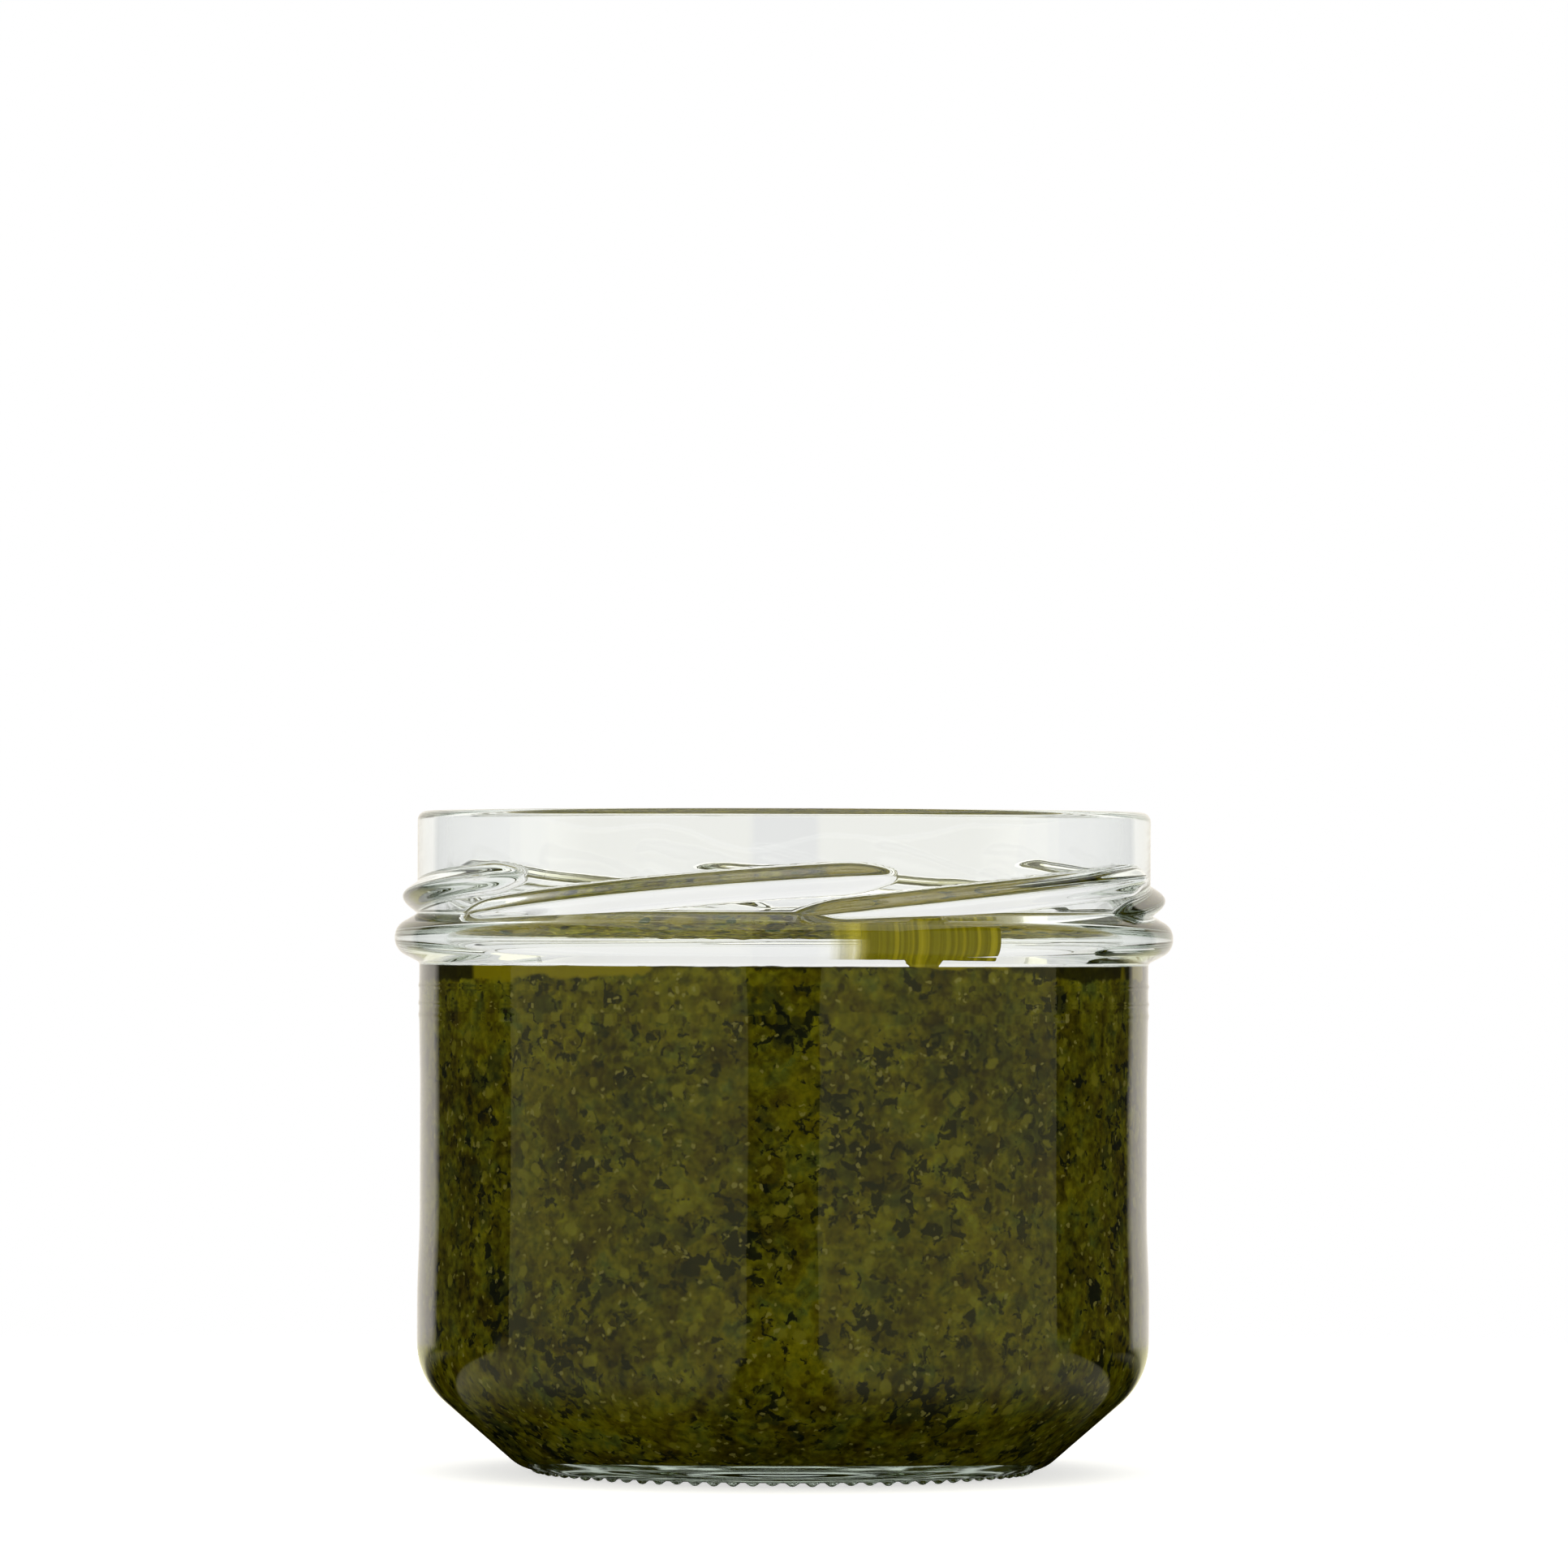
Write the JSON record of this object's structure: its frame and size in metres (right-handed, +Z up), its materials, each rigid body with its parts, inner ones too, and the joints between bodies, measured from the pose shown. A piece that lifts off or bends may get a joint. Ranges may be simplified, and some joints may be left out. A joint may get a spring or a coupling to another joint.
{
  "type": "straight-sided glass jar of pesto",
  "caption": "Open wide-mouth clear glass twist-off jar with a stout bead, helical lugs and a sloping heel, filled with coarse green basil pesto to just under the neck.",
  "frame": {"origin": "centre of the foot, on the surface that the jar stands on", "axes": "+Z up along the jar's axis; -Y is the side seen in the picture, +X to its right"},
  "size_m": [0.0846, 0.0846, 0.0717],
  "materials": {
    "clear_glass": "smooth clear moulded glass",
    "green_pesto": "wet coarse basil pesto with oil"
  },
  "bodies": {
    "root": {"jar_glass": "clear_glass", "pesto": "green_pesto"}
  },
  "joints": []
}
